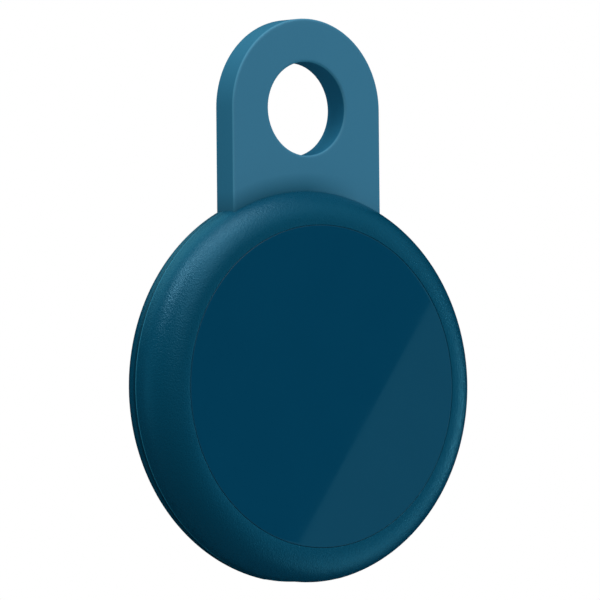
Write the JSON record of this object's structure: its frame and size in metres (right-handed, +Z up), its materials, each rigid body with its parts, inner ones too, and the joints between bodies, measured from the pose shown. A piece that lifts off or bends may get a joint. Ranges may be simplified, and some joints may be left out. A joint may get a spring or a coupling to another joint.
{
  "type": "bluetooth tracker tag",
  "caption": "Round puck-shaped tracker tag that hangs on a soft loop strap, with a press face and a charging socket in the rim.",
  "frame": {"origin": "centre of the loop's hole, halfway through the strap's thickness", "axes": "+Z up along the strap, from the puck to the loop's round end; +Y along the hole towards the rear wall, so the press face looks along -Y; +X to the right of someone who looks at the press face"},
  "size_m": [0.0388, 0.0076, 0.0556],
  "materials": {
    "loop_silicone": "satin moulded silicone",
    "rim_plastic": "fine spark-eroded grain, matte",
    "face_plastic": "smooth high gloss",
    "seal_rubber": "matte",
    "black_plastic": "moulded, matte",
    "spring_steel": "rolled strip",
    "cell_steel": "nickel plated, satin",
    "socket_steel": "drawn, nickel plated",
    "board_laminate": "green solder mask",
    "chip_resin": "moulded epoxy",
    "antenna_ceramic": "fired, unglazed",
    "capacitor_ceramic": "fired, unglazed",
    "ferrite": "sintered",
    "electrode_stack": "wound foil and separator",
    "amber_film": "polyimide film",
    "glue": "cured adhesive",
    "sounder_brass": "rolled",
    "contact_gold": "gold plated"
  },
  "bodies": {
    "loop": {"loop_eyelet": "loop_silicone"},
    "case": {"loop_root": "loop_silicone", "front_shell": "rim_plastic", "rear_shell": "rim_plastic", "shell_seal": "seal_rubber", "face_gasket": "seal_rubber", "switch_base": "black_plastic", "switch_dome": "spring_steel", "switch_cover": "spring_steel", "inner_frame": "black_plastic", "main_board": "board_laminate", "radio_chip": "chip_resin", "charger_chip": "chip_resin", "motion_sensor": "chip_resin", "chip_antenna": "antenna_ceramic", "crystals": "spring_steel", "power_inductor": "ferrite", "chip_capacitors": "capacitor_ceramic", "chip_resistors": "chip_resin", "battery_can": "cell_steel", "battery_cap": "cell_steel", "battery_gasket": "black_plastic", "battery_electrodes": "electrode_stack", "battery_tab_positive": "spring_steel", "battery_tab_negative": "spring_steel", "insulator_film": "amber_film", "sounder_glue_ring": "glue", "sounder_plate": "sounder_brass", "sounder_ceramic": "antenna_ceramic", "sounder_flex": "amber_film", "usb_shell": "socket_steel", "usb_tongue": "black_plastic", "usb_contacts": "contact_gold", "usb_seal_ring": "seal_rubber"},
    "button": {"face_button": "face_plastic"},
    "stem": {"switch_stem": "black_plastic"}
  },
  "joints": [
    {"name": "loop_flex", "type": "hinge", "parent": "loop", "child": "case", "pos_m": [0, 0, -0.0062], "axis": [1, 0, 0], "range_deg": [-45, 45], "stiffness_Nm_per_rad": 0.026},
    {"name": "face_press", "type": "slide", "parent": "case", "child": "button", "axis": [0, 1, 0], "range_m": [0, 0.00025], "stiffness_N_per_m": 1500, "deforming": ["face_gasket"]},
    {"name": "stem_press", "type": "slide", "parent": "case", "child": "stem", "axis": [0, 1, 0], "range_m": [0, 0.00025], "deforming": ["switch_dome"]}
  ],
  "couplings": [
    {"joint": "stem_press", "follows": "face_press", "ratio": 1}
  ]
}
